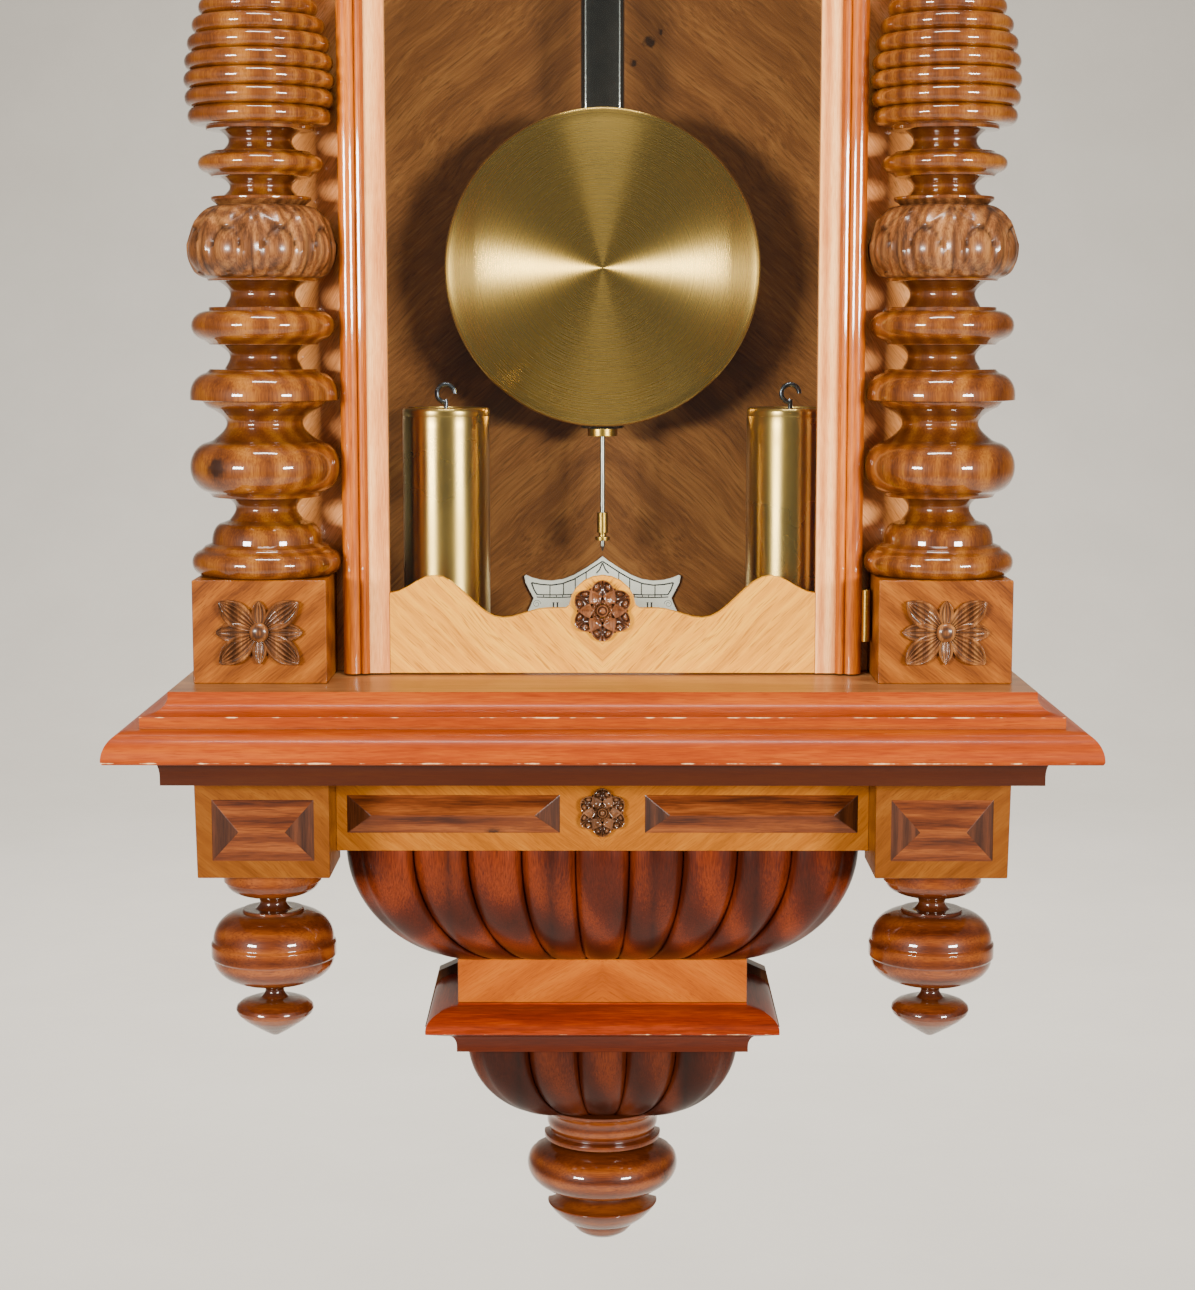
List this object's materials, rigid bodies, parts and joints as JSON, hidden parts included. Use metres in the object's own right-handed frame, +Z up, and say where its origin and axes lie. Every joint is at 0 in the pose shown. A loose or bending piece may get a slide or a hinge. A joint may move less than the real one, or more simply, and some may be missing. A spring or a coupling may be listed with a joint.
{
  "type": "wall regulator clock",
  "caption": "Wall regulator clock with turned corner columns, glazed door, wood-rod pendulum with brass bob, two weights and gadrooned base and crest.",
  "frame": {"origin": "centre of the hanger plate's hole, on the wall plane", "axes": "+Z up, +Y into the wall, the dial and door face -Y, +X to the viewer's right"},
  "size_m": [0.4758, 0.2209, 1.4326],
  "materials": {
    "dark_walnut": "oiled, dark",
    "walnut": "satin polish",
    "polished_walnut": "french polished",
    "dark_polished": "french polished",
    "light_veneer": "polished veneer",
    "carved_wood": "waxed",
    "ebonised_wood": "black polish",
    "brass": "brushed and lacquered",
    "steel": "grained",
    "blued_steel": "blued",
    "black_iron": "blackened",
    "enamel": "enamel",
    "glass": "clear",
    "gut": "twisted gut"
  },
  "bodies": {
    "case": {"backboard": "dark_walnut", "side_frames": "walnut", "case_top": "walnut", "front_stiles": "light_veneer", "column_left": "polished_walnut", "column_right": "polished_walnut", "column_blocks": "walnut", "block_flowers": "carved_wood", "shelf": "polished_walnut", "lower_frieze": "light_veneer", "top_frieze": "light_veneer", "corner_blocks": "light_veneer", "diamond_panels": "polished_walnut", "frieze_rosettes": "carved_wood", "corner_finials": "dark_polished", "gadroon_bowl": "dark_polished", "plinths": "light_veneer", "wall_plate": "dark_walnut", "small_moulding": "polished_walnut", "small_bowls": "dark_polished", "bottom_finial": "dark_polished", "top_cornice": "polished_walnut", "crest_finial": "dark_polished", "hanger_plate": "steel", "side_panes": "glass", "levelling_screws": "brass", "beat_plate": "enamel", "gong_stand": "black_iron", "gong_coil": "steel", "seat_bracket": "black_iron", "movement_frame": "brass", "dial": "enamel", "dial_bezel": "brass", "case_hinges": "brass", "gut_lines": "gut", "pulley_frames": "brass"},
    "door": {"door_stiles": "polished_walnut", "door_top_rail": "light_veneer", "door_bottom_panel": "light_veneer", "door_glass": "glass", "door_rosettes": "carved_wood", "door_hinges": "brass"},
    "latch": {"latch": "brass"},
    "pendulum": {"pendulum_rod": "ebonised_wood", "pendulum_bob": "brass", "rating_nut": "brass", "suspension_spring": "steel"},
    "anchor": {"anchor": "steel"},
    "escape_wheel": {"escape_wheel": "brass"},
    "third_wheel": {"third_wheel": "brass"},
    "centre_wheel": {"centre_wheel": "brass"},
    "hour_hand": {"hour_hand": "blued_steel"},
    "minute_wheel": {"minute_wheel": "brass"},
    "going_barrel": {"going_barrel": "brass"},
    "strike_barrel": {"strike_barrel": "brass"},
    "strike_hammer": {"strike_hammer": "steel"},
    "sheave_left": {"sheave_left": "brass"},
    "sheave_right": {"sheave_right": "brass"},
    "weight_left": {"weight_left": "brass"},
    "weight_right": {"weight_right": "brass"}
  },
  "joints": [
    {"name": "door_swing", "type": "hinge", "parent": "case", "child": "door", "pos_m": [0.1323, -0.1404, -0.5255], "axis": [0, 0, 1], "range_deg": [0, 95]},
    {"name": "latch_turn", "type": "hinge", "parent": "door", "child": "latch", "pos_m": [-0.1167, -0.13, -0.4955], "axis": [0, 1, 0], "range_deg": [0, 90]},
    {"name": "pendulum_swing", "type": "hinge", "parent": "case", "child": "pendulum", "pos_m": [0, -0.05, -0.1605], "axis": [0, 1, 0], "range_deg": [-2, 2]},
    {"name": "anchor_rock", "type": "hinge", "parent": "case", "child": "anchor", "pos_m": [0, -0.07, -0.1605], "axis": [0, 1, 0], "range_deg": [-2, 2]},
    {"name": "minute_hand_turn", "type": "hinge", "parent": "case", "child": "centre_wheel", "pos_m": [0, -0.07, -0.2305], "axis": [0, 1, 0], "continuous": true},
    {"name": "hour_hand_turn", "type": "hinge", "parent": "case", "child": "hour_hand", "pos_m": [0, -0.07, -0.2305], "axis": [0, 1, 0], "continuous": true},
    {"name": "minute_wheel_turn", "type": "hinge", "parent": "case", "child": "minute_wheel", "pos_m": [0, -0.07, -0.2185], "axis": [0, 1, 0], "continuous": true},
    {"name": "third_wheel_turn", "type": "hinge", "parent": "case", "child": "third_wheel", "pos_m": [-0.00605, -0.07, -0.20367], "axis": [0, 1, 0], "continuous": true},
    {"name": "escape_wheel_turn", "type": "hinge", "parent": "case", "child": "escape_wheel", "pos_m": [0, -0.07, -0.182], "axis": [0, 1, 0], "continuous": true},
    {"name": "going_barrel_turn", "type": "hinge", "parent": "case", "child": "going_barrel", "pos_m": [0.034, -0.07, -0.23922], "axis": [0, 1, 0], "continuous": true},
    {"name": "strike_barrel_turn", "type": "hinge", "parent": "case", "child": "strike_barrel", "pos_m": [-0.034, -0.07, -0.23922], "axis": [0, 1, 0], "continuous": true},
    {"name": "hammer_lift", "type": "hinge", "parent": "case", "child": "strike_hammer", "pos_m": [-0.046, -0.07, -0.2855], "axis": [0, 1, 0], "range_deg": [0, 8]},
    {"name": "sheave_left_turn", "type": "hinge", "parent": "case", "child": "sheave_left", "pos_m": [-0.066, -0.091, -0.3635], "axis": [0, 1, 0], "continuous": true},
    {"name": "sheave_right_turn", "type": "hinge", "parent": "case", "child": "sheave_right", "pos_m": [0.066, -0.091, -0.3635], "axis": [0, 1, 0], "continuous": true},
    {"name": "weight_left_lift", "type": "slide", "parent": "case", "child": "weight_left", "axis": [0, 0, 1], "range_m": [0, 0.36]},
    {"name": "weight_right_lift", "type": "slide", "parent": "case", "child": "weight_right", "axis": [0, 0, 1], "range_m": [0, 0.36]}
  ],
  "couplings": [
    {"joint": "anchor_rock", "follows": "pendulum_swing", "ratio": 1},
    {"joint": "hour_hand_turn", "follows": "minute_hand_turn", "ratio": 0.083333},
    {"joint": "minute_wheel_turn", "follows": "minute_hand_turn", "ratio": -0.33333},
    {"joint": "third_wheel_turn", "follows": "minute_hand_turn", "ratio": -10},
    {"joint": "escape_wheel_turn", "follows": "minute_hand_turn", "ratio": 80},
    {"joint": "going_barrel_turn", "follows": "minute_hand_turn", "ratio": -0.083333}
  ]
}
